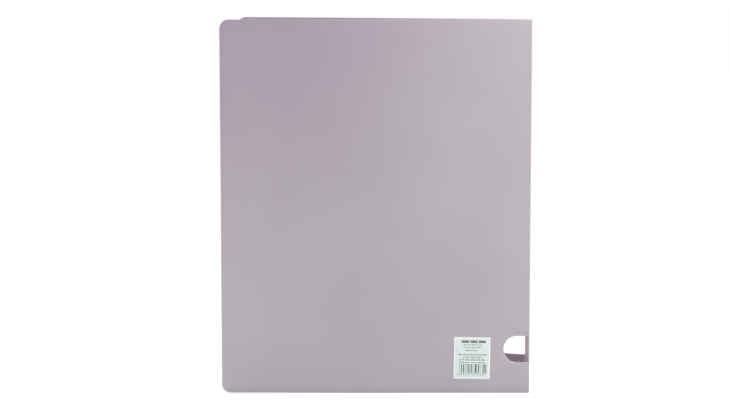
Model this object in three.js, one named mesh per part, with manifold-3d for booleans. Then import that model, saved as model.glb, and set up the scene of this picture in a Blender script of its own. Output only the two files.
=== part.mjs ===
// Two-ring binder of translucent plastic sheet, standing upright with its spine to +X.
// Millimetres, +Z up. The back cover faces -Y, the front cover stands a little open to +Y.
// The origin is on the standing surface, below the middle of the bounding box.
import * as THREE from 'three';
import { mergeVertices } from 'three/addons/utils/BufferGeometryUtils.js';
import Module from 'manifold-3d';

const wasm = await Module();
wasm.setup();

// Plastic sheet: two covers and a spine, folded along two upright lines
const sheetHeight = 310;
const sheetThickness = 0.8;
const coverReach = 255.6; // fold line to free edge
const coverCornerRadius = 7.5;
const foldSpacing = 34.2; // between the two fold lines
const foldClearance = 0.3; // round cover edge to spine edge
const frontCoverOpening = THREE.MathUtils.degToRad(14.5);

// Finger window beside each fold
const windowHeight = 22.2;
const windowBottom = 25.9;
const backWindowDepth = 21.2; // from the fold line
const frontWindowDepth = 27;

// Label on the back cover
const labelWidth = 30.1;
const labelHeight = 35;
const labelThickness = 0.15;
const labelLift = 0.05; // film of glue
const labelFromFold = 47.5; // to the middle of the label
const labelMiddleHeight = 29.5;
const labelLean = THREE.MathUtils.degToRad(1);

// Ring housing, an arched plate with rolled lips
const housingLength = 130;
const housingHalfWidth = 9.5;
const housingMetal = 0.8;
const housingArch = 2.8; // rise of the arch above its side walls
const housingCornerRadius = 3;
const housingSeat = 0.3; // lip above the spine sheet
const lipWidth = 1.9;
const lipHeight = 1.6;

// Blades, two plates that toggle inside the housing
const bladeThickness = 0.8;
const bladeSlope = THREE.MathUtils.degToRad(6); // below level with the rings closed
const bladeSideClearance = 0.3;
const bladeMiddleGap = 0.4; // between the two blades

// Rings of round wire
const ringSpacing = 80;
const ringInnerRadius = 10;
const wireRadius = 1.5;
const ringTipGap = 0.3;
const ringLegOffset = 5.6; // leg from the middle plane
const ringLegFillet = 2.5; // to the middle of the wire
const ringAboveHousing = 0; // lowest point of the closed circle above the crown
const ringSlotClearance = 0.4;
const ringSlotOpeningRoom = 1.3; // for the leg as it swings out
const ringSlotInnerRoom = 0.3;
const spigotRadius = 0.9;
const spigotClearance = 0.3;
const spigotHeadRadius = 1.7;
const spigotHeadHeight = 0.5;
const spigotSeatGap = 0.1;

// Rivets through spine and housing
const rivetSpacing = 98;
const rivetShankRadius = 2;
const rivetHoleClearance = 0.15;
const rivetHeadRadius = 4.3;
const rivetHeadHeight = 1.2;
const rivetCollarRadius = 2.9;
const rivetCollarHeight = 0.8;
const rivetBoreRadius = 1.1;
const rivetSeatGap = 0.1;
const bladeRivetClearance = 0.5;

// Opening levers and their pins
const leverFromEnd = 3.5; // pivot to the end of the housing
const leverPivotHeight = 2.4;
const pinRadius = 0.8;
const pinClearance = 0.1;
const leverBossRadius = 1.7;
const leverThickness = 1;
const leverWidth = 7;
const leverPadWidth = 12;
const leverPadCorner = 2;
const leverStraight = 6.5; // pivot to the start of the bend
const leverBendRadius = 6;
const leverBendAngle = THREE.MathUtils.degToRad(35);
const leverPadLength = 4;
const leverPadHeight = 7; // wide part of the lever, measured upright
const leverSlotClearance = 0.6;
const tongueReach = 3.6;
const tongueWidth = 5;
const tongueThickness = 0.7;
const tongueSeat = 0.3; // above the spine sheet
const tongueUnderBlade = 0.8;

// Facets
const arcSegments = 10;
const holeSegments = 20;
const wireSides = 12;
const ringSteps = 30;
const cutMargin = 5; // how far a cutter runs past what it cuts

// Places that follow from the sizes above, across (v) and above (u) the spine's inner face
const foldEdge = sheetThickness / 2;
const lipTop = housingSeat + lipHeight;
const bladePivotHeight = lipTop + bladeSideClearance + bladeThickness / 2;
const bladePivotOffset = housingHalfWidth - housingMetal - bladeSideClearance - bladeThickness / 2;
const crownHeight = bladePivotHeight + housingArch;
const ringRadius = ringInnerRadius + wireRadius;
const ringCentreHeight = crownHeight + ringAboveHousing + ringInnerRadius;
const leverPlace = housingLength / 2 - leverFromEnd;
const bladeHalfLength = leverPlace - tongueReach + tongueUnderBlade;
const halfTurn = Math.PI;
const quarterTurn = Math.PI / 2;

const frostedSheet = new THREE.MeshStandardMaterial({
  color: 0xb3abb5, roughness: 0.55, metalness: 0, transparent: true, opacity: 0.85,
});
const labelPaper = new THREE.MeshStandardMaterial({ color: 0xe0ebe6, roughness: 0.6, metalness: 0 });
const platedSteel = new THREE.MeshStandardMaterial({ color: 0xc9c8c6, roughness: 0.25, metalness: 1 });

function toSolid(geometry) {
  const bare = geometry.clone();
  bare.deleteAttribute('normal');
  bare.deleteAttribute('uv');
  const merged = mergeVertices(bare);
  return new wasm.Manifold(new wasm.Mesh({
    numProp: 3,
    vertProperties: merged.attributes.position.array,
    triVerts: new Uint32Array(merged.index.array),
  }));
}

function toGeometry(solid) {
  const mesh = solid.getMesh();
  const geometry = new THREE.BufferGeometry();
  geometry.setAttribute('position', new THREE.BufferAttribute(mesh.vertProperties, 3));
  geometry.setIndex(new THREE.BufferAttribute(mesh.triVerts, 1));
  geometry.computeVertexNormals();
  return geometry;
}

function cut(geometry, cutters) {
  const solid = cutters.reduce((left, cutter) => left.subtract(toSolid(cutter)), toSolid(geometry));
  return toGeometry(solid);
}

function join(geometries) {
  const solid = geometries.slice(1).reduce((sum, piece) => sum.add(toSolid(piece)), toSolid(geometries[0]));
  return toGeometry(solid);
}

function keepInside(geometry, outline) {
  return toGeometry(toSolid(geometry).intersect(toSolid(outline)));
}

// A flat shape made thick, with its middle plane at z = 0
function slab(shape, thickness) {
  const geometry = new THREE.ExtrudeGeometry(shape, {
    depth: thickness, bevelEnabled: false, curveSegments: arcSegments,
  });
  return geometry.translate(0, 0, -thickness / 2);
}

function block(fromX, toX, fromY, toY, fromZ, toZ) {
  const geometry = new THREE.BoxGeometry(toX - fromX, toY - fromY, toZ - fromZ);
  return geometry.translate((fromX + toX) / 2, (fromY + toY) / 2, (fromZ + toZ) / 2);
}

// A rectangle with a radius on each corner: lower left, lower right, upper right, upper left
function roundedRectangle(left, bottom, right, top, radii) {
  const [lowerLeft, lowerRight, upperRight, upperLeft] = radii;
  const shape = new THREE.Shape();
  shape.moveTo(left + lowerLeft, bottom);
  shape.lineTo(right - lowerRight, bottom);
  if (lowerRight > 0) {
    shape.absarc(right - lowerRight, bottom + lowerRight, lowerRight, -quarterTurn, 0, false);
  }
  shape.lineTo(right, top - upperRight);
  if (upperRight > 0) {
    shape.absarc(right - upperRight, top - upperRight, upperRight, 0, quarterTurn, false);
  }
  shape.lineTo(left + upperLeft, top);
  if (upperLeft > 0) {
    shape.absarc(left + upperLeft, top - upperLeft, upperLeft, quarterTurn, halfTurn, false);
  }
  shape.lineTo(left, bottom + lowerLeft);
  if (lowerLeft > 0) {
    shape.absarc(left + lowerLeft, bottom + lowerLeft, lowerLeft, halfTurn, halfTurn + quarterTurn, false);
  }
  return shape;
}

function addMesh(parent, name, geometry, material) {
  const mesh = new THREE.Mesh(geometry, material);
  mesh.name = name;
  parent.add(mesh);
  return mesh;
}

// Cover: a sheet from the fold line to its free edge, with a round edge along the fold line
function coverGeometry(windowDepth) {
  const section = new THREE.Shape();
  section.moveTo(-coverReach, -foldEdge);
  section.lineTo(0, -foldEdge);
  section.absarc(0, 0, foldEdge, -quarterTurn, quarterTurn, false);
  section.lineTo(-coverReach, foldEdge);
  section.closePath();
  const sheet = slab(section, sheetHeight).translate(0, 0, sheetHeight / 2);
  const outline = roundedRectangle(
    -coverReach, 0, cutMargin, sheetHeight, [coverCornerRadius, 0, 0, coverCornerRadius],
  );
  const trimmed = keepInside(sheet, slab(outline, 2 * cutMargin).rotateX(quarterTurn));
  return cut(trimmed, [windowCutter(windowDepth)]);
}

function windowCutter(depth) {
  const endRadius = windowHeight / 2;
  const shape = new THREE.Shape();
  shape.moveTo(cutMargin, windowBottom);
  shape.lineTo(cutMargin, windowBottom + windowHeight);
  shape.lineTo(endRadius - depth, windowBottom + windowHeight);
  shape.absarc(
    endRadius - depth, windowBottom + endRadius, endRadius,
    quarterTurn, halfTurn + quarterTurn, false,
  );
  shape.closePath();
  return slab(shape, 2 * cutMargin).rotateX(quarterTurn);
}

function labelGeometry() {
  const shape = roundedRectangle(
    -labelWidth / 2, -labelHeight / 2, labelWidth / 2, labelHeight / 2, [0, 0, 0, 0],
  );
  return slab(shape, labelThickness).rotateX(quarterTurn);
}

// Spine: flat sheet between the folds, with two rivet holes on its middle line
function spineGeometry() {
  const edge = foldEdge + foldClearance;
  const sheet = block(-foldEdge, foldEdge, edge, foldSpacing - edge, 0, sheetHeight);
  const hole = new THREE.CylinderGeometry(
    rivetShankRadius + rivetHoleClearance, rivetShankRadius + rivetHoleClearance,
    2 * cutMargin, holeSegments,
  ).rotateZ(quarterTurn);
  const holes = [-1, 1].map((end) => hole.clone().translate(
    0, foldSpacing / 2, sheetHeight / 2 + end * rivetSpacing / 2,
  ));
  return cut(sheet, holes);
}

// The ring mechanism is drawn with X across the spine, Y away from it and Z along it
function housingSection() {
  const inside = housingHalfWidth - housingMetal;
  const lipInside = housingHalfWidth - lipWidth;
  const shape = new THREE.Shape();
  shape.moveTo(housingHalfWidth, housingSeat);
  shape.lineTo(housingHalfWidth, bladePivotHeight);
  shape.absellipse(0, bladePivotHeight, housingHalfWidth, housingArch, 0, halfTurn, false);
  shape.lineTo(-housingHalfWidth, housingSeat);
  shape.lineTo(-lipInside, housingSeat);
  shape.lineTo(-lipInside, lipTop);
  shape.lineTo(-inside, lipTop);
  shape.lineTo(-inside, bladePivotHeight);
  shape.absellipse(0, bladePivotHeight, inside, housingArch - housingMetal, halfTurn, 0, true);
  shape.lineTo(inside, lipTop);
  shape.lineTo(lipInside, lipTop);
  shape.lineTo(lipInside, housingSeat);
  shape.closePath();
  return shape;
}

function housingGeometry() {
  const plan = roundedRectangle(
    -housingHalfWidth, -housingLength / 2, housingHalfWidth, housingLength / 2,
    Array(4).fill(housingCornerRadius),
  );
  const shell = keepInside(
    slab(housingSection(), housingLength),
    slab(plan, 4 * crownHeight).rotateX(quarterTurn),
  );
  const above = crownHeight + cutMargin;
  const cutters = [];
  for (const end of [-1, 1]) {
    cutters.push(new THREE.CylinderGeometry(
      rivetShankRadius + rivetHoleClearance, rivetShankRadius + rivetHoleClearance,
      2 * above, holeSegments,
    ).translate(0, 0, end * rivetSpacing / 2));
    cutters.push(new THREE.CylinderGeometry(
      pinRadius + pinClearance, pinRadius + pinClearance, 4 * housingHalfWidth, holeSegments,
    ).rotateZ(quarterTurn).translate(0, leverPivotHeight, end * leverPlace));
    const slotHalfWidth = leverWidth / 2 + leverSlotClearance;
    const slotStart = end * (leverPlace - leverBossRadius - leverSlotClearance);
    const slotEnd = end * (housingLength / 2 + cutMargin);
    cutters.push(block(
      -slotHalfWidth, slotHalfWidth, leverPivotHeight, above,
      Math.min(slotStart, slotEnd), Math.max(slotStart, slotEnd),
    ));
    for (const side of [-1, 1]) {
      const slotInner = side * (ringLegOffset - wireRadius - ringSlotInnerRoom);
      const slotOuter = side * (ringLegOffset + wireRadius + ringSlotOpeningRoom);
      const along = end * ringSpacing / 2;
      cutters.push(block(
        Math.min(slotInner, slotOuter), Math.max(slotInner, slotOuter), bladePivotHeight, above,
        along - wireRadius - ringSlotClearance, along + wireRadius + ringSlotClearance,
      ));
    }
  }
  return cut(shell, cutters);
}

// Blade: its round outer edge lies on its pivot line at the origin, its plate runs to +X
function bladeGeometry() {
  const reach = bladePivotOffset - bladeMiddleGap / 2;
  const halfThickness = bladeThickness / 2;
  const section = new THREE.Shape();
  section.moveTo(0, halfThickness);
  section.absarc(0, 0, halfThickness, quarterTurn, halfTurn + quarterTurn, false);
  section.lineTo(reach, -halfThickness);
  section.lineTo(reach, halfThickness);
  section.closePath();
  const cutters = [];
  for (const end of [-1, 1]) {
    cutters.push(new THREE.CylinderGeometry(
      rivetShankRadius + bladeRivetClearance, rivetShankRadius + bladeRivetClearance,
      2 * cutMargin, holeSegments,
    ).translate(bladePivotOffset, 0, end * rivetSpacing / 2));
    cutters.push(new THREE.CylinderGeometry(
      spigotRadius + spigotClearance, spigotRadius + spigotClearance, 2 * cutMargin, holeSegments,
    ).translate((bladePivotOffset - ringLegOffset) / Math.cos(bladeSlope), 0, end * ringSpacing / 2));
  }
  return cut(slab(section, 2 * bladeHalfLength), cutters);
}

// Ring half on the side of -X: wire from its tip round to the leg, then a spigot through the blade
function ringHalfGeometry() {
  const filletCentreX = -(ringLegOffset + ringLegFillet);
  const centreDistance = ringRadius + ringLegFillet;
  const filletDrop = Math.sqrt(centreDistance ** 2 - filletCentreX ** 2);
  const filletCentreY = ringCentreHeight - filletDrop;
  const tipAngle = Math.acos(-ringTipGap / 2 / ringRadius);
  const jointAngle = Math.atan2(-filletDrop, filletCentreX) + 2 * halfTurn;
  const bladeMiddle = bladePivotHeight
    - (bladePivotOffset - ringLegOffset) * Math.tan(bladeSlope);
  const bladeHalf = bladeThickness / 2 / Math.cos(bladeSlope);
  const legEnd = bladeMiddle + bladeHalf + spigotSeatGap + wireRadius * Math.tan(bladeSlope);

  const path = new THREE.CurvePath();
  path.add(new PlaneArc(0, ringCentreHeight, ringRadius, tipAngle, jointAngle));
  path.add(new PlaneArc(filletCentreX, filletCentreY, ringLegFillet, jointAngle - halfTurn, 0));
  path.add(new THREE.LineCurve3(
    new THREE.Vector3(-ringLegOffset, filletCentreY, 0),
    new THREE.Vector3(-ringLegOffset, legEnd, 0),
  ));
  const section = new THREE.Shape();
  section.absarc(0, 0, wireRadius, 0, 2 * halfTurn, false);
  const wire = new THREE.ExtrudeGeometry(section, {
    steps: ringSteps, curveSegments: wireSides / 2, extrudePath: path,
  });

  const headTop = -bladeThickness / 2 - spigotSeatGap;
  const spigot = new THREE.LatheGeometry([
    new THREE.Vector2(0, headTop - spigotHeadHeight),
    new THREE.Vector2(spigotHeadRadius, headTop - spigotHeadHeight),
    new THREE.Vector2(spigotHeadRadius, headTop),
    new THREE.Vector2(spigotRadius, headTop),
    new THREE.Vector2(spigotRadius, legEnd - bladeMiddle + wireRadius / 2),
    new THREE.Vector2(0, legEnd - bladeMiddle + wireRadius / 2),
  ], holeSegments);
  spigot.rotateZ(-bladeSlope).translate(-ringLegOffset, bladeMiddle, 0);
  return join([wire, spigot]);
}

// An arc in the XY plane, as a curve in space
class PlaneArc extends THREE.Curve {
  constructor(centreX, centreY, radius, startAngle, endAngle) {
    super();
    this.centre = new THREE.Vector3(centreX, centreY, 0);
    this.radius = radius;
    this.startAngle = startAngle;
    this.endAngle = endAngle;
  }

  getPoint(t, target = new THREE.Vector3()) {
    const angle = this.startAngle + (this.endAngle - this.startAngle) * t;
    return target.set(Math.cos(angle), Math.sin(angle), 0).multiplyScalar(this.radius).add(this.centre);
  }
}

// Rivet: domed head outside the spine, shank through spine and housing, rolled collar on the crown
function rivetGeometry() {
  const headSeat = -sheetThickness - rivetSeatGap;
  const collarSeat = crownHeight + rivetSeatGap;
  const domeCentre = headSeat - rivetHeadHeight
    + (rivetHeadRadius ** 2 + rivetHeadHeight ** 2) / (2 * rivetHeadHeight);
  const domeRadius = domeCentre - headSeat + rivetHeadHeight;
  const domeAngle = Math.asin(rivetHeadRadius / domeRadius);
  const profile = [];
  for (let step = 0; step <= arcSegments / 2; step += 1) {
    const angle = domeAngle * step / (arcSegments / 2);
    profile.push(new THREE.Vector2(
      domeRadius * Math.sin(angle), domeCentre - domeRadius * Math.cos(angle),
    ));
  }
  profile.push(
    new THREE.Vector2(rivetShankRadius, headSeat),
    new THREE.Vector2(rivetShankRadius, collarSeat),
    new THREE.Vector2(rivetCollarRadius, collarSeat),
    new THREE.Vector2(rivetCollarRadius, collarSeat + rivetCollarHeight / 2),
    new THREE.Vector2(rivetShankRadius, collarSeat + rivetCollarHeight),
    new THREE.Vector2(rivetBoreRadius, collarSeat + rivetCollarHeight),
    new THREE.Vector2(rivetBoreRadius, 0),
    new THREE.Vector2(0, 0),
  );
  return new THREE.LatheGeometry(profile, holeSegments);
}

// Lever: drawn in the plane along and above the spine, outward end to +X, pivot above the origin
function leverGeometry() {
  const half = leverThickness / 2;
  const bendHeight = leverPivotHeight + leverStraight;
  const bendEnd = halfTurn - leverBendAngle;
  const padX = leverPadLength * Math.sin(leverBendAngle);
  const padY = leverPadLength * Math.cos(leverBendAngle);
  const outerX = leverBendRadius + (leverBendRadius - half) * Math.cos(bendEnd);
  const outerY = bendHeight + (leverBendRadius - half) * Math.sin(bendEnd);
  const innerX = leverBendRadius + (leverBendRadius + half) * Math.cos(bendEnd);
  const innerY = bendHeight + (leverBendRadius + half) * Math.sin(bendEnd);
  const strip = new THREE.Shape();
  strip.moveTo(half, leverPivotHeight);
  strip.lineTo(half, bendHeight);
  strip.absarc(leverBendRadius, bendHeight, leverBendRadius - half, halfTurn, bendEnd, true);
  strip.lineTo(outerX + padX, outerY + padY);
  strip.lineTo(innerX + padX, innerY + padY);
  strip.lineTo(innerX, innerY);
  strip.absarc(leverBendRadius, bendHeight, leverBendRadius + half, bendEnd, halfTurn, false);
  strip.lineTo(-half, leverPivotHeight);
  strip.closePath();

  const topHeight = innerY + padY;
  const face = roundedRectangle(
    -leverPadWidth / 2, topHeight - leverPadHeight, leverPadWidth / 2, topHeight,
    Array(4).fill(leverPadCorner),
  );
  const arm = block(-leverWidth / 2, leverWidth / 2, 0, topHeight - leverPadHeight / 2,
    -leverPadWidth, leverPadWidth);
  const faceOn = join([slab(face, 2 * leverPadWidth), arm]).rotateY(quarterTurn);
  const stamped = keepInside(slab(strip, leverPadWidth), faceOn);

  const boss = new THREE.CylinderGeometry(leverBossRadius, leverBossRadius, leverWidth, holeSegments)
    .rotateX(quarterTurn).translate(0, leverPivotHeight, 0);
  const tongueHalf = tongueWidth / 2;
  const tongue = block(
    -tongueReach, half, tongueSeat, tongueSeat + tongueThickness, -tongueHalf, tongueHalf,
  );
  const heel = block(-leverThickness, half, tongueSeat, leverPivotHeight, -tongueHalf, tongueHalf);
  const pinHole = new THREE.CylinderGeometry(
    pinRadius + pinClearance, pinRadius + pinClearance, 2 * leverPadWidth, holeSegments,
  ).rotateX(quarterTurn).translate(0, leverPivotHeight, 0);
  return cut(join([stamped, boss, tongue, heel]), [pinHole]).rotateY(-quarterTurn);
}

function addSheets(binder) {
  addMesh(binder, 'spine_panel', spineGeometry(), frostedSheet);

  const backSheet = coverGeometry(backWindowDepth);
  const backCover = addMesh(binder, 'back_cover', backSheet, frostedSheet);
  const label = addMesh(backCover, 'back_label', labelGeometry(), labelPaper);
  label.position.set(
    -labelFromFold, -(foldEdge + labelLift + labelThickness / 2), labelMiddleHeight,
  );
  label.rotation.y = labelLean;

  const frontSheet = coverGeometry(frontWindowDepth);
  const frontCover = addMesh(binder, 'front_cover', frontSheet, frostedSheet);
  frontCover.position.y = foldSpacing;
  frontCover.rotation.z = -frontCoverOpening;
}

function addRingMechanism(binder) {
  const mechanism = new THREE.Group();
  mechanism.position.set(-foldEdge, foldSpacing / 2, sheetHeight / 2);
  mechanism.rotation.z = quarterTurn;
  binder.add(mechanism);
  addMesh(mechanism, 'ring_housing', housingGeometry(), platedSteel);

  const ends = [['upper', 1], ['lower', -1]];
  for (const [sideName, sideTurn] of [['back', 0], ['front', halfTurn]]) {
    const side = new THREE.Group();
    side.rotation.y = sideTurn;
    mechanism.add(side);
    const blade = addMesh(side, `blade_${sideName}`, bladeGeometry(), platedSteel);
    blade.position.set(-bladePivotOffset, bladePivotHeight, 0);
    blade.rotation.z = -bladeSlope;
    for (const [endName, end] of ends) {
      const ringHalf = addMesh(side, `ring_${endName}_${sideName}`, ringHalfGeometry(), platedSteel);
      ringHalf.position.z = end * Math.cos(sideTurn) * ringSpacing / 2;
    }
  }

  for (const [endName, end] of ends) {
    const rivet = addMesh(mechanism, `rivet_${endName}`, rivetGeometry(), platedSteel);
    rivet.position.z = end * rivetSpacing / 2;

    const lever = addMesh(mechanism, `lever_${endName}`, leverGeometry(), platedSteel);
    lever.rotation.y = end > 0 ? 0 : halfTurn;
    lever.position.z = end * leverPlace;

    const pinShape = new THREE.CylinderGeometry(
      pinRadius, pinRadius, 2 * housingHalfWidth, holeSegments,
    ).rotateZ(quarterTurn);
    const pin = addMesh(mechanism, `lever_pin_${endName}`, pinShape, platedSteel);
    pin.position.set(0, leverPivotHeight, end * leverPlace);
  }
}

const binder = new THREE.Group();
addSheets(binder);
addRingMechanism(binder);

// Move the origin below the middle of the bounding box
binder.updateMatrixWorld(true);
const middle = new THREE.Box3().setFromObject(binder).getCenter(new THREE.Vector3());
binder.position.set(-middle.x, -middle.y, 0);

export default binder;
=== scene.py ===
"""Translucent ring binder standing on a white sweep, seen from its back cover."""
import math
import random

import bmesh
import bpy
from mathutils import Matrix, Vector


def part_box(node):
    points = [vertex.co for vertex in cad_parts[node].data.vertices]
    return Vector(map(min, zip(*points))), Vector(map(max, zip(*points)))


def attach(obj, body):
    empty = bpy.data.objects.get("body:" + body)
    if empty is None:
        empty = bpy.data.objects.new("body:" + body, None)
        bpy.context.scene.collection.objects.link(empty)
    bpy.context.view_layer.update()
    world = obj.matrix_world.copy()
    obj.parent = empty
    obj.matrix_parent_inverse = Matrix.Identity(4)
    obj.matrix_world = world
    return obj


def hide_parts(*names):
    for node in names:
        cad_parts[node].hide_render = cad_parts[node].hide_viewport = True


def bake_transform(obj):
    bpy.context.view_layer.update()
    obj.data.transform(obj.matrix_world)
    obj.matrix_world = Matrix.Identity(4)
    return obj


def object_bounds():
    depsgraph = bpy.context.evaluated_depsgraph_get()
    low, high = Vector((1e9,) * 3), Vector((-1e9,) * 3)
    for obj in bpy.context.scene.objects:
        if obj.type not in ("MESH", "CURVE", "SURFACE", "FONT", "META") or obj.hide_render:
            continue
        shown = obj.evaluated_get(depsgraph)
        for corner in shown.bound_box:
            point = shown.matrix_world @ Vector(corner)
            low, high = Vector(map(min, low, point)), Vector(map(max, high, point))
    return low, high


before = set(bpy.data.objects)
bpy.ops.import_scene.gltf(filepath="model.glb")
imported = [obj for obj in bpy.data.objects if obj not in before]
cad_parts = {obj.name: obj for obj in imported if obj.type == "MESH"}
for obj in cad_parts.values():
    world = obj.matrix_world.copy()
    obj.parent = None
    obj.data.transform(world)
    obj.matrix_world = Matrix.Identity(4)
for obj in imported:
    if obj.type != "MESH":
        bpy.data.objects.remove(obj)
cad_low, cad_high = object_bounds()

MM = 0.001

# Plastic sheet
SHEET_THICKNESS = 0.8 * MM
FOLD_REACH = 0.7 * MM  # from the fold line to where a flat sheet starts
FOLD_STEPS = 8
FOLD_OVERLAP = 0.02 * MM
COVER_OPENING = math.radians(14.5)
CUT_BEVEL = 0.36 * MM
BEVEL_STEPS = 2
RIM_ANGLE = math.radians(60)  # sharper edges get the bevel
NEAR_FOLD = 0.01 * MM  # no bevel this close to the fold's cut
SHEET_TRANSLUCENCY = 0.34  # share of light that passes the sheet
GRID_STEP = 8 * MM  # between the lines where a cover can bend
BELLY = 1.2 * MM  # outward bow in the middle of a cover
RIPPLE = 0.7 * MM  # wave along a cover's lower edge
RIPPLE_TURN = 2.6 * math.pi
RIPPLE_START = 0.6
HIGHLIGHT_EDGE_LEAST_RISE = 0.15  # upward part of the normal of a cut edge that gets the painted highlight
HIGHLIGHT_EDGE_MOST_ACROSS = 0.97  # crosswise part of the same normal
SPINE_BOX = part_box("spine_panel")
BACK_FOLD = Vector((sum(corner.x for corner in SPINE_BOX) / 2, SPINE_BOX[0].y - FOLD_REACH, 0))
FRONT_FOLD = Vector((BACK_FOLD.x, SPINE_BOX[1].y + FOLD_REACH, 0))
SHEET_HEIGHT = SPINE_BOX[1].z
COVER_REACH = BACK_FOLD.x - cad_low.x
WINDOW_BOTTOM = 25.9 * MM
WINDOW_TOP = 48.1 * MM
FRONT_CORNER_LIFT = 1.3 * MM
SHEET_SHARP = math.radians(50)  # sharper edges stay unsmoothed
PAINTED_SHADE_TINT = (0.86, 0.81, 0.89, 1)  # painted shade: multiplies the colour towards the upper free corner
THROUGH_TINT = (1.0, 0.88, 0.95, 1)  # multiplies the colour of the light that passes the sheet

# Label and its print
LABEL_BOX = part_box("back_label")
LABEL_WIDTH = 30.1 * MM
LABEL_HEIGHT = 35.0 * MM
LABEL_THICKNESS = 0.15 * MM
LABEL_LEAN = math.radians(1)
LABEL_MARGIN = 1.0 * MM
LABEL_STEPS = 8
PRINT_SEED = 7
PRINT_THICKNESS = 0.02 * MM
DARK_PRINT_RISE = 1.5  # in thicknesses of the print
WORD_WIDTHS = (1.6, 4.2)  # shortest and longest, mm
WORD_GAPS = (0.5, 0.9)
TICK_WIDTHS = (0.7, 1.1)
TICK_GAPS = (0.9, 1.2)
HEADLINE_DASHES = ((6.2, 12.6), (13.6, 19.4), (20.4, 26.2))  # left and right ends, mm
HEADLINE_LEVEL = (30.3, 32.4)  # bottom and top, mm
PRINT_ROWS = (  # left, right, bottom, height, mm
    (7.8, 23.8, 28.2, 0.95), (8.5, 23.2, 26.0, 0.95), (9.5, 20.2, 23.4, 1.1),
    (3.2, 27.4, 19.7, 1.2), (7.2, 23.8, 17.5, 1.1), (4.4, 26.0, 15.4, 1.1),
    (4.6, 26.2, 13.2, 0.95),
)
DARK_BARS = ((6.1, 6.9), (7.8, 8.8), (14.3, 15.3), (17.5, 19.2), (20.2, 21.2))
PALE_BARS = (
    (4.6, 5.1), (9.5, 9.9), (10.4, 10.7), (11.3, 13.6), (15.9, 16.4), (22.0, 22.4), (23.9, 27.4),
)
BARS_LEVEL = (4.8, 12.4)
TICK_ROW = (2.8, 27.4, 3.0, 1.4)

# Steel
STEEL_SHARP = math.radians(40)

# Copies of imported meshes
MERGE_DISTANCE = 0.002 * MM
FLAT_ANGLE = math.radians(0.5)  # faces closer in direction than this count as one

# Studio
WHITE = (1, 1, 1, 1)
WORLD_LIGHT = 0.64
WORLD_SEEN = 1.0
FLOOR_SIZE = 6
FLOOR_MATT = (0.8, 0.8, 0.8, 1)
FLOOR_DIM = (0.3, 0.3, 0.3, 1)
FLOOR_GLOW = 0.84
LAMPS = (  # name, place and side in metres, power in watts, tint
    ("window_light", (0.56, -0.36, 0.48), 0.3, 3.2, (0.95, 1, 0.92)),
    ("fill_light", (-0.5, -0.7, 0.08), 0.5, 0.6, (1, 1, 1)),
    ("low_light", (-0.16, -0.24, 0.02), 0.03, 0.042, (0.97, 1, 0.99)),
    ("inner_light", (-0.9, 0.02, 0.15), 0.25, 2.8, (1, 1, 1)),
    ("back_light", (0.4, 1.6, 1.4), 1.4, 8, (1, 1, 1)),
)
CAMERA_PLACE = (-9.5 * MM, -1541.5 * MM, 324.4 * MM)
CAMERA_DIP = math.radians(5.82)
CAMERA_LENS = 89.75  # focal length and sensor width in photographic millimetres
CAMERA_SENSOR = 36
CAMERA_SHIFT = -0.025
CAMERA_FAR = 50  # metres


def linear(hex_colour):
    """sRGB hex text to a linear colour with alpha 1."""
    channels = [int(hex_colour[start:start + 2], 16) / 255 for start in (1, 3, 5)]
    values = [c / 12.92 if c <= 0.04045 else ((c + 0.055) / 1.055) ** 2.4 for c in channels]
    return (*values, 1.0)


def add_node(tree, kind, settings=None, **inputs):
    """A new node: settings are its properties, inputs are values or sockets.

    An input is given by its name with _ for a space, or as i and its number.
    """
    node = tree.nodes.new(kind)
    for key, value in (settings or {}).items():
        setattr(node, key, value)
    for key, value in inputs.items():
        numbered = key[0] == "i" and key[1:].isdigit()
        socket = node.inputs[int(key[1:]) if numbered else key.replace("_", " ")]
        if isinstance(value, bpy.types.NodeSocket):
            tree.links.new(value, socket)
        else:
            socket.default_value = value
    return node


def new_material(name):
    material = bpy.data.materials.new(name)
    material.use_nodes = True
    tree = material.node_tree
    tree.nodes.clear()
    return material, tree


def finish_material(tree, shader):
    output = tree.nodes.new("ShaderNodeOutputMaterial")
    tree.links.new(shader, output.inputs["Surface"])


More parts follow.
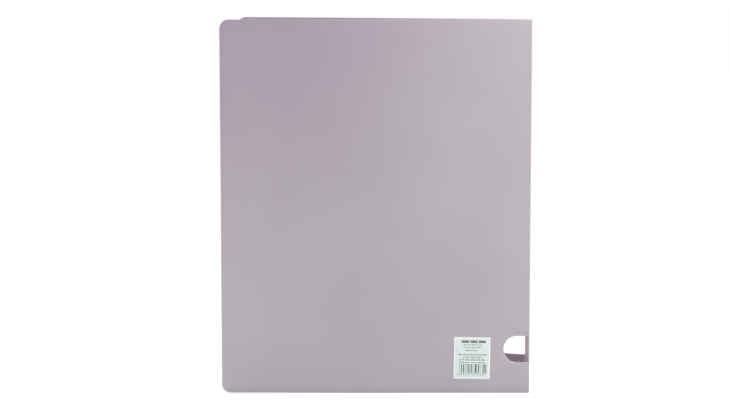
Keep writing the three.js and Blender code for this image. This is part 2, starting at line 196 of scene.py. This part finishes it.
def frosted_polypropylene(name, shade, light_shade, roughness):
    """Extruded polypropylene sheet, frosted by a sand-grained roller: soft sheen, faint cloudiness.

    A painted shade makes the sheet's colour a little darker towards its upper free corner.
    """
    cloud_size = 70 * MM
    painted_shade_full = 0.85
    rough_spread = 0.04
    grain_strength = 0.35
    refraction = 1.49
    painted_shade_middle = Vector((-74 * MM, 0, 318 * MM))
    painted_shade_reach = Vector((190 * MM, 0, 240 * MM))
    grain_size = 0.45 * MM
    grain_depth = 0.012 * MM
    material, tree = new_material(name)
    place = add_node(tree, "ShaderNodeTexCoord").outputs["Object"]
    cloud = add_node(tree, "ShaderNodeTexNoise", Vector=place, Scale=1 / cloud_size, Detail=2.0)
    colour = add_node(
        tree, "ShaderNodeMix", {"data_type": "RGBA"},
        i0=cloud.outputs["Fac"], i6=linear(shade), i7=linear(light_shade),
    )
    # Painted shade: a spherical gradient darkens and tints the colour towards the upper free corner.
    painted_shade_scale = Vector((1 / painted_shade_reach.x, 0, 1 / painted_shade_reach.z))
    painted_shade_place = add_node(
        tree, "ShaderNodeMapping", Vector=place, Scale=painted_shade_scale, Location=-painted_shade_middle * painted_shade_scale,
    )
    painted_shade = add_node(
        tree, "ShaderNodeTexGradient", {"gradient_type": "SPHERICAL"},
        Vector=painted_shade_place.outputs["Vector"],
    )
    painted_shade_share = add_node(
        tree, "ShaderNodeMapRange", {"interpolation_type": "SMOOTHSTEP"},
        Value=painted_shade.outputs["Fac"], i3=0.0, i4=painted_shade_full,
    )
    shaded = add_node(
        tree, "ShaderNodeMix", {"data_type": "RGBA", "blend_type": "MULTIPLY"},
        i0=painted_shade_share.outputs["Result"], i6=colour.outputs[2], i7=PAINTED_SHADE_TINT,
    )
    grain = add_node(tree, "ShaderNodeTexNoise", Vector=place, Scale=1 / grain_size, Detail=3.0)
    rough = add_node(
        tree, "ShaderNodeMapRange", Value=cloud.outputs["Fac"],
        i3=roughness - rough_spread, i4=roughness + rough_spread,
    )
    bump = add_node(
        tree, "ShaderNodeBump",
        Height=grain.outputs["Fac"], Strength=grain_strength, Distance=grain_depth,
    )
    front = add_node(
        tree, "ShaderNodeBsdfPrincipled",
        Base_Color=shaded.outputs[2], Roughness=rough.outputs["Result"], IOR=refraction,
        Normal=bump.outputs["Normal"],
    )
    deeper = add_node(
        tree, "ShaderNodeMix", {"data_type": "RGBA", "blend_type": "MULTIPLY"},
        i0=1.0, i6=shaded.outputs[2], i7=THROUGH_TINT,
    )
    through = add_node(tree, "ShaderNodeBsdfTranslucent", Color=deeper.outputs[2])
    sheet = add_node(
        tree, "ShaderNodeMixShader", i0=SHEET_TRANSLUCENCY,
        i1=front.outputs["BSDF"], i2=through.outputs["BSDF"],
    )
    finish_material(tree, sheet.outputs["Shader"])
    return material


def nickel_plate(name, shade, roughness):
    """Stamped steel with bright nickel plating: a mirror softened by fine drawing lines."""
    line_size = 0.25 * MM
    line_stretch = 0.05
    smoother = 0.05
    rougher = 0.07
    material, tree = new_material(name)
    place = add_node(tree, "ShaderNodeTexCoord").outputs["Object"]
    stretch = add_node(tree, "ShaderNodeMapping", Vector=place, Scale=(1, 1, line_stretch))
    lines = add_node(
        tree, "ShaderNodeTexNoise", Vector=stretch.outputs["Vector"], Scale=1 / line_size, Detail=2.0,
    )
    rough = add_node(
        tree, "ShaderNodeMapRange", Value=lines.outputs["Fac"],
        i3=roughness - smoother, i4=roughness + rougher,
    )
    shader = add_node(
        tree, "ShaderNodeBsdfPrincipled",
        Base_Color=linear(shade), Metallic=1.0, Roughness=rough.outputs["Result"],
    )
    finish_material(tree, shader.outputs["BSDF"])
    return material


def label_stock(name, shade, light_shade):
    """Coated paper label: smooth, with the slight cloudiness of its fibres."""
    fibre_size = 1.6 * MM
    roughness = 0.5
    refraction = 1.45
    material, tree = new_material(name)
    place = add_node(tree, "ShaderNodeTexCoord").outputs["Object"]
    fibres = add_node(tree, "ShaderNodeTexNoise", Vector=place, Scale=1 / fibre_size, Detail=3.0)
    colour = add_node(
        tree, "ShaderNodeMix", {"data_type": "RGBA"},
        i0=fibres.outputs["Fac"], i6=linear(shade), i7=linear(light_shade),
    )
    shader = add_node(
        tree, "ShaderNodeBsdfPrincipled",
        Base_Color=colour.outputs[2], Roughness=roughness, IOR=refraction,
    )
    finish_material(tree, shader.outputs["BSDF"])
    return material


SHEET = frosted_polypropylene("frosted_polypropylene", "#CAC1CC", "#D4CED4", roughness=0.5)
# Lighter copy of the sheet for cut edges that face up: a painted highlight.
PAINTED_HIGHLIGHT_EDGE = frosted_polypropylene(
    "cut_edge_painted_highlight", "#E4DBE3", "#EDE6EC", roughness=0.35,
)
NICKEL = nickel_plate("nickel_plated_steel", "#C9C7C2", roughness=0.2)
LABEL = label_stock("coated_label_paper", "#D8E1E3", "#E1E8EB")
LABEL_RIM = label_stock("label_paper_margin", "#F1F2F6", "#F8F8FB")
DARK_PRINT = label_stock("dark_grey_print", "#687270", "#7B8582")
PALE_PRINT = label_stock("pale_grey_print", "#96A29F", "#A7B3B0")


def new_piece(name, mesh_builder, body, materials, replaced=()):
    """Turn a bmesh into an object, on a body if one is given, with the materials passed in; the nodes
    it replaces are hidden.
    """
    mesh = bpy.data.meshes.new(name)
    mesh_builder.to_mesh(mesh)
    mesh_builder.free()
    piece = bpy.data.objects.new(name, mesh)
    bpy.context.scene.collection.objects.link(piece)
    for material in materials:
        mesh.materials.append(material)
    if body:
        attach(piece, body)
    if replaced:
        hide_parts(*replaced)
    return piece


def smooth_faces(piece, angle):
    for face in piece.data.polygons:
        face.use_smooth = True
    piece.data.set_sharp_from_angle(angle=angle)


def merged_copy(node):
    """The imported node's mesh with its triangles joined up and its flat faces made whole."""
    builder = bmesh.new()
    builder.from_mesh(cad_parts[node].data)
    bmesh.ops.remove_doubles(builder, verts=builder.verts, dist=MERGE_DISTANCE)
    bmesh.ops.dissolve_limit(
        builder, angle_limit=FLAT_ANGLE, verts=builder.verts, edges=builder.edges,
    )
    return builder


def cover_bow(across, up):
    """How far a cover's middle plane leaves the flat, outwards; the fold line stays straight."""
    free = min(max(-across / COVER_REACH, 0), 1)
    height = up / SHEET_HEIGHT
    belly = BELLY * math.sin(math.pi * free) * math.sin(math.pi * height)
    ripple = RIPPLE * free * math.sin(RIPPLE_TURN * free + RIPPLE_START) * (1 - height) ** 2
    return belly - ripple


def build_cover(node, body, fold, opening, outward, corner_lift):
    """Bevelled cover sheet, slightly bowed, with its free edge raised by corner_lift."""
    to_sheet = Matrix.Rotation(opening, 4, "Z") @ Matrix.Translation(-fold)
    sheet = merged_copy(node)
    bmesh.ops.transform(sheet, matrix=to_sheet, verts=sheet.verts)
    cut = bmesh.ops.bisect_plane(
        sheet, geom=sheet.verts[:] + sheet.edges[:] + sheet.faces[:],
        plane_co=(-FOLD_REACH, 0, 0), plane_no=(1, 0, 0), clear_outer=True,
    )
    open_edges = [item for item in cut["geom_cut"] if isinstance(item, bmesh.types.BMEdge)]
    bmesh.ops.holes_fill(sheet, edges=open_edges)
    rim = [
        edge for edge in sheet.edges
        if len(edge.link_faces) == 2 and edge.calc_face_angle() > RIM_ANGLE
        and min(vert.co.x for vert in edge.verts) < -FOLD_REACH - NEAR_FOLD
        and abs(edge.verts[0].co.y - edge.verts[1].co.y) < SHEET_THICKNESS / 2
    ]
    bmesh.ops.bevel(
        sheet, geom=rim, offset=CUT_BEVEL, segments=BEVEL_STEPS, profile=0.5,
        affect="EDGES", material=-1, clamp_overlap=True,
    )
    for axis, extent in ((0, COVER_REACH), (2, SHEET_HEIGHT)):
        for step in range(1, int(extent / GRID_STEP) + 1):
            place = Vector((0, 0, 0))
            place[axis] = -step * GRID_STEP if axis == 0 else step * GRID_STEP
            normal = Vector((0, 0, 0))
            normal[axis] = 1
            bmesh.ops.bisect_plane(
                sheet, geom=sheet.verts[:] + sheet.edges[:] + sheet.faces[:],
                plane_co=place, plane_no=normal,
            )
    sheet.normal_update()
    # Cut edges that face up take the lighter copy of the sheet: a painted highlight for the light
    # they catch from above.
    for face in sheet.faces:
        takes_painted_highlight = face.normal.z > HIGHLIGHT_EDGE_LEAST_RISE and abs(face.normal.y) < HIGHLIGHT_EDGE_MOST_ACROSS
        face.material_index = 1 if takes_painted_highlight else 0
    for vert in sheet.verts:
        bow = cover_bow(vert.co.x, vert.co.z)
        raised = corner_lift * -vert.co.x / COVER_REACH
        vert.co.y += outward * bow
        vert.co.z += raised
    bmesh.ops.transform(sheet, matrix=to_sheet.inverted(), verts=sheet.verts)
    piece = new_piece(f"{node}_sheet", sheet, body, [SHEET, PAINTED_HIGHLIGHT_EDGE], [node])
    smooth_faces(piece, SHEET_SHARP)


def build_fold(name, fold, to_cover, to_spine, low, high):
    """Creased strip that joins a cover to the spine, bent to the cover's angle at rest; it rides on
    no body.
    """
    half_angle = to_cover.angle(to_spine) / 2
    radius = FOLD_REACH * math.tan(half_angle)
    middle = fold + (to_cover + to_spine).normalized() * (FOLD_REACH / math.cos(half_angle))
    turn = math.pi - 2 * half_angle
    side = 1 if to_cover.cross(to_spine).z < 0 else -1
    across = Vector((to_cover.y, -to_cover.x, 0))
    start = fold + to_cover * (FOLD_REACH + FOLD_OVERLAP)
    strip = bmesh.new()
    half = SHEET_THICKNESS / 2
    corners = [
        strip.verts.new(start + across * offset + Vector((0, 0, height)))
        for offset, height in ((-half, low), (half, low), (half, high), (-half, high))
    ]
    face = strip.faces.new(corners)
    bmesh.ops.spin(
        strip, geom=[face] + face.edges[:] + corners, cent=middle, axis=(0, 0, 1),
        angle=side * turn, steps=FOLD_STEPS, use_merge=False,
    )
    open_edges = [edge for edge in strip.edges if edge.is_boundary]
    if open_edges:
        bmesh.ops.holes_fill(strip, edges=open_edges)
    bmesh.ops.recalc_face_normals(strip, faces=strip.faces)
    piece = new_piece(name, strip, None, [SHEET])
    smooth_faces(piece, SHEET_SHARP)
    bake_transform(piece)


def bend_with_back_cover(builder):
    for vert in builder.verts:
        vert.co.y -= cover_bow(vert.co.x - BACK_FOLD.x, vert.co.z)


def label_place(proud):
    """Matrix from the label's own frame, X right and Z up on its face, to the row frame."""
    middle = (LABEL_BOX[0] + LABEL_BOX[1]) / 2
    middle.y = LABEL_BOX[0].y - proud
    return Matrix.Translation(middle) @ Matrix.Rotation(LABEL_LEAN, 4, "Y")


def build_label():
    """Self-adhesive label with an unprinted margin, bent with the cover that it sticks to."""
    label = bmesh.new()
    bmesh.ops.create_grid(label, x_segments=LABEL_STEPS, y_segments=LABEL_STEPS, size=0.5)
    bmesh.ops.scale(label, vec=(LABEL_WIDTH, LABEL_HEIGHT, 1), verts=label.verts)
    bmesh.ops.rotate(label, matrix=Matrix.Rotation(math.pi / 2, 3, "X"), verts=label.verts)
    for normal, half in (((1, 0, 0), LABEL_WIDTH / 2), ((0, 0, 1), LABEL_HEIGHT / 2)):
        for side in (-1, 1):
            bmesh.ops.bisect_plane(
                label, geom=label.verts[:] + label.edges[:] + label.faces[:],
                plane_co=Vector(normal) * side * (half - LABEL_MARGIN), plane_no=normal,
            )
    for face in label.faces:
        place = face.calc_center_median()
        inside = (
            abs(place.x) < LABEL_WIDTH / 2 - LABEL_MARGIN
            and abs(place.z) < LABEL_HEIGHT / 2 - LABEL_MARGIN
        )
        face.material_index = 0 if inside else 1
    bmesh.ops.solidify(label, geom=label.faces[:], thickness=-LABEL_THICKNESS)
    lowest = min(vert.co.y for vert in label.verts)
    bmesh.ops.translate(label, vec=(0, -lowest, 0), verts=label.verts)
    bmesh.ops.transform(label, matrix=label_place(0), verts=label.verts)
    bend_with_back_cover(label)
    bmesh.ops.recalc_face_normals(label, faces=label.faces)
    piece = new_piece(
        "label_sheet", label, "back_cover", [LABEL, LABEL_RIM], ["back_label"],
    )
    smooth_faces(piece, SHEET_SHARP)


def print_bar(builder, left, right, bottom, top):
    """A plain bar of ink, its four sides in millimetres from the label's lower left corner."""
    size = Vector(((right - left) * MM, PRINT_THICKNESS, (top - bottom) * MM))
    middle = Vector((
        (left + right) / 2 * MM - LABEL_WIDTH / 2, PRINT_THICKNESS / 2,
        (bottom + top) / 2 * MM - LABEL_HEIGHT / 2,
    ))
    place = Matrix.Translation(middle) @ Matrix.Diagonal(size).to_4x4()
    bmesh.ops.create_cube(builder, size=1, matrix=place)


def print_row(builder, draw, left, right, bottom, height, word, gap):
    """Bars in place of words: word and gap are the shortest and longest widths in millimetres."""
    place = left
    while place < right:
        width = draw.uniform(*word)
        print_bar(builder, place, min(place + width, right), bottom, bottom + height)
        place += width + draw.uniform(*gap)


def build_print():
    """Greeked print: plain dashes in place of words above a field of upright bars."""
    draw = random.Random(PRINT_SEED)
    dark = bmesh.new()
    pale = bmesh.new()
    for left, right in HEADLINE_DASHES:
        print_bar(dark, left, right, *HEADLINE_LEVEL)
    for left, right, bottom, height in PRINT_ROWS:
        print_row(pale, draw, left, right, bottom, height, WORD_WIDTHS, WORD_GAPS)
    print_row(pale, draw, *TICK_ROW, TICK_WIDTHS, TICK_GAPS)
    for builder, bars in ((dark, DARK_BARS), (pale, PALE_BARS)):
        for left, right in bars:
            print_bar(builder, left, right, *BARS_LEVEL)
    for name, builder, material, rise in (
        ("headline_and_bars", dark, DARK_PRINT, DARK_PRINT_RISE),
        ("rows_and_bars", pale, PALE_PRINT, 1),
    ):
        bmesh.ops.transform(builder, matrix=label_place(PRINT_THICKNESS * rise), verts=builder.verts)
        bend_with_back_cover(builder)
        new_piece(f"print_{name}", builder, "back_cover", [material])


def build_sheets():
    build_cover("back_cover", "back_cover", BACK_FOLD, 0, -1, 0)
    build_cover("front_cover", "front_cover", FRONT_FOLD, COVER_OPENING, 1, FRONT_CORNER_LIFT)
    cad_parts["spine_panel"].data.materials.clear()
    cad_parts["spine_panel"].data.materials.append(SHEET)
    to_back = Vector((-1, 0, 0))
    to_front = Vector((-math.cos(COVER_OPENING), math.sin(COVER_OPENING), 0))
    for side, fold, to_cover, to_spine in (
        ("back", BACK_FOLD, to_back, Vector((0, 1, 0))),
        ("front", FRONT_FOLD, to_front, Vector((0, -1, 0))),
    ):
        build_fold(f"{side}_fold_lower", fold, to_cover, to_spine, 0, WINDOW_BOTTOM)
        build_fold(f"{side}_fold_upper", fold, to_cover, to_spine, WINDOW_TOP, SHEET_HEIGHT)


def build_metal():
    for node, body in (
        ("ring_housing", "spine"), ("rivet_upper", "spine"), ("rivet_lower", "spine"),
        ("lever_upper", "upper_lever"), ("lever_lower", "lower_lever"),
        ("ring_upper_back", "back_blade"), ("ring_lower_back", "back_blade"),
        ("ring_upper_front", "front_blade"), ("ring_lower_front", "front_blade"),
    ):
        piece = new_piece(f"{node}_plated", merged_copy(node), body, [NICKEL], [node])
        smooth_faces(piece, STEEL_SHARP)
    for node in ("blade_back", "blade_front", "lever_pin_upper", "lever_pin_lower"):
        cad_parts[node].data.materials.clear()
        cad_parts[node].data.materials.append(NICKEL)


def build_floor():
    """White sweep: it shows white to the camera and keeps a faint shadow."""
    floor = bmesh.new()
    bmesh.ops.create_grid(floor, x_segments=1, y_segments=1, size=FLOOR_SIZE)
    mesh = bpy.data.meshes.new("floor")
    floor.to_mesh(mesh)
    floor.free()
    sweep = bpy.data.objects.new("floor", mesh)
    bpy.context.scene.collection.objects.link(sweep)
    material, tree = new_material("white_sweep")
    path = add_node(tree, "ShaderNodeLightPath")
    matt = add_node(tree, "ShaderNodeBsdfDiffuse", Color=FLOOR_MATT)
    dim = add_node(tree, "ShaderNodeBsdfDiffuse", Color=FLOOR_DIM)
    glow = add_node(tree, "ShaderNodeEmission", Color=WHITE, Strength=FLOOR_GLOW)
    bright = add_node(tree, "ShaderNodeAddShader", i0=dim.outputs[0], i1=glow.outputs[0])
    seen = add_node(
        tree, "ShaderNodeMixShader", i0=path.outputs["Is Camera Ray"],
        i1=matt.outputs[0], i2=bright.outputs[0],
    )
    finish_material(tree, seen.outputs[0])
    mesh.materials.append(material)


def build_light():
    world = bpy.data.worlds.new("studio")
    bpy.context.scene.world = world
    world.use_nodes = True
    tree = world.node_tree
    tree.nodes.clear()
    path = add_node(tree, "ShaderNodeLightPath")
    soft = add_node(tree, "ShaderNodeBackground", Color=WHITE, Strength=WORLD_LIGHT)
    white = add_node(tree, "ShaderNodeBackground", Color=WHITE, Strength=WORLD_SEEN)
    seen = add_node(
        tree, "ShaderNodeMixShader", i0=path.outputs["Is Camera Ray"],
        i1=soft.outputs[0], i2=white.outputs[0],
    )
    output = tree.nodes.new("ShaderNodeOutputWorld")
    tree.links.new(seen.outputs[0], output.inputs["Surface"])
    for name, place, size, power, tint in LAMPS:
        lamp = bpy.data.lights.new(name, "AREA")
        lamp.energy = power
        lamp.color = tint
        lamp.size = size
        lamp_object = bpy.data.objects.new(name, lamp)
        bpy.context.scene.collection.objects.link(lamp_object)
        lamp_object.location = place
        aim = Vector((0, 0, SHEET_HEIGHT / 2)) - Vector(place)
        lamp_object.rotation_euler = aim.to_track_quat("-Z", "Y").to_euler()


def build_camera():
    """Long lens on the back cover, from just above the binder's upper edge and dipped a little."""
    camera = bpy.data.cameras.new("camera")
    camera.sensor_width = CAMERA_SENSOR
    camera.lens = CAMERA_LENS
    camera.shift_y = CAMERA_SHIFT
    camera.clip_end = CAMERA_FAR
    camera_object = bpy.data.objects.new("camera", camera)
    bpy.context.scene.collection.objects.link(camera_object)
    camera_object.location = CAMERA_PLACE
    camera_object.rotation_euler = (math.pi / 2 - CAMERA_DIP, 0, 0)
    bpy.context.scene.camera = camera_object


build_camera()
build_light()
build_floor()
build_sheets()
build_label()
build_print()
build_metal()

bpy.context.scene.view_settings.view_transform = "Standard"
